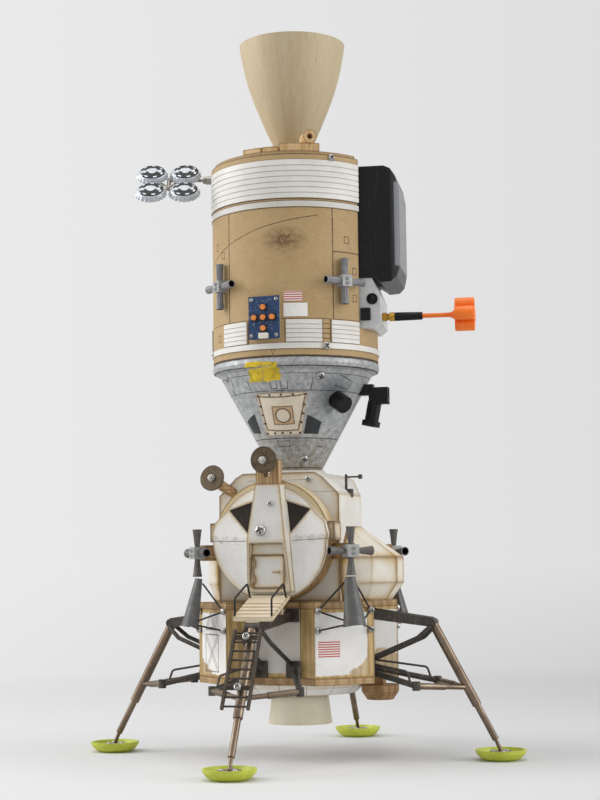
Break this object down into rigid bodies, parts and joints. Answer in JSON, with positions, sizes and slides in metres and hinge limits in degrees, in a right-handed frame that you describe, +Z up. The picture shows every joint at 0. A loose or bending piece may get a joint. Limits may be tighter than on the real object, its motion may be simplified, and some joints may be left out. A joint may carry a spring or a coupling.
{
  "type": "lunar lander model",
  "caption": "Handmade desk model of a four-legged lunar lander docked under a cone and drum craft, with an opening hatch, tilting dishes and a slide-out battery.",
  "frame": {"origin": "on the floor, midway between the four footpads, under the model's upright axis", "axes": "+Z up along the stack, -Y to the front where the hatch, porch and ladder are, +X to the viewer's right"},
  "size_m": [0.42, 0.42, 0.669],
  "materials": {
    "plywood": "bare plywood, edges darkened by a burning tool",
    "card_tube": "bare kraft card tube",
    "white_paint": "matt white paint with rubbed edges",
    "grey_white": "pale grey paint",
    "cream_wood": "pale turned wood",
    "silver_wood": "silver paint on turned wood",
    "dark_metal": "dark grey painted bar",
    "bright_metal": "bare aluminium tube",
    "steel": "brushed steel washer",
    "neon_plastic": "bright yellow-green moulded plastic",
    "black_plastic": "black moulded plastic",
    "black_pane": "black painted pane",
    "grey_plastic": "grey moulded plastic",
    "orange_plastic": "orange printed plastic",
    "blue_board": "blue circuit board",
    "bottle_cap": "crimped tin cap"
  },
  "bodies": {
    "lander": {"descent_core": "grey_white", "descent_plates": "plywood", "descent_boxes": "white_paint", "descent_dish": "white_paint", "descent_nozzle": "cream_wood", "landing_radar": "plywood", "leg_outriggers": "dark_metal", "leg_sleeves": "bright_metal", "leg_pistons": "bright_metal", "footpads": "neon_plastic", "leg_side_struts": "bright_metal", "leg_trusses": "dark_metal", "porch": "plywood", "porch_rails": "dark_metal", "ladder": "dark_metal", "plume_deflectors": "grey_plastic", "deflector_stays": "dark_metal", "lander_middle": "grey_white", "cabin_drum": "plywood", "cabin_face": "white_paint", "cabin_nose": "white_paint", "cabin_windows": "black_pane", "cabin_side_boxes": "white_paint", "tank_bay_right": "white_paint", "tank_bay_left": "white_paint", "aft_bay": "white_paint", "thruster_arms": "plywood", "lander_thruster_blocks": "grey_plastic", "lander_thrusters": "dark_metal", "radar_fork": "plywood", "s_band_arm": "plywood", "s_band_dish": "steel", "t_mast": "bright_metal", "docking_collar": "plywood", "command_cone": "silver_wood", "command_base": "silver_wood", "command_hatch": "cream_wood", "side_lens": "black_plastic", "camera_bracket": "black_plastic", "service_lower_ring": "plywood", "service_white_ring": "white_paint", "service_tube": "card_tube", "service_deck": "plywood", "service_bands": "white_paint", "service_panels": "white_paint", "engine_bell": "cream_wood", "deck_blocks": "plywood", "service_thruster_blocks": "grey_plastic", "service_thrusters": "grey_plastic", "control_board": "blue_board", "battery_shoe": "grey_plastic", "whip_antenna": "orange_plastic", "boom_collar": "bright_metal"},
    "hatch_leaf": {"hatch": "white_paint"},
    "radar": {"radar_dish": "steel"},
    "battery_pack": {"battery": "black_plastic"},
    "cap_antenna": {"cap_boom": "bright_metal", "boom_caps": "bottle_cap"},
    "camera": {"sighting_camera": "black_plastic"}
  },
  "joints": [
    {"name": "hatch_hinge", "type": "hinge", "parent": "lander", "child": "hatch_leaf", "pos_m": [-0.0144, -0.0856, 0.169], "axis": [0, 0, -1], "range_deg": [0, 90]},
    {"name": "radar_tilt", "type": "hinge", "parent": "lander", "child": "radar", "pos_m": [0, -0.08, 0.263], "axis": [-1, 0, 0], "range_deg": [-20, 45]},
    {"name": "battery_slide", "type": "slide", "parent": "lander", "child": "battery_pack", "axis": [0, 0, 1], "range_m": [0, 0.055]},
    {"name": "boom_roll", "type": "hinge", "parent": "lander", "child": "cap_antenna", "pos_m": [-0.07753, -0.0267, 0.54], "axis": [-0.9455, -0.3256, 0], "range_deg": [-60, 60]},
    {"name": "camera_tilt", "type": "hinge", "parent": "lander", "child": "camera", "pos_m": [0.08368, 0.00732, 0.327], "axis": [0.0872, -0.9962, 0], "range_deg": [0, 45]}
  ]
}
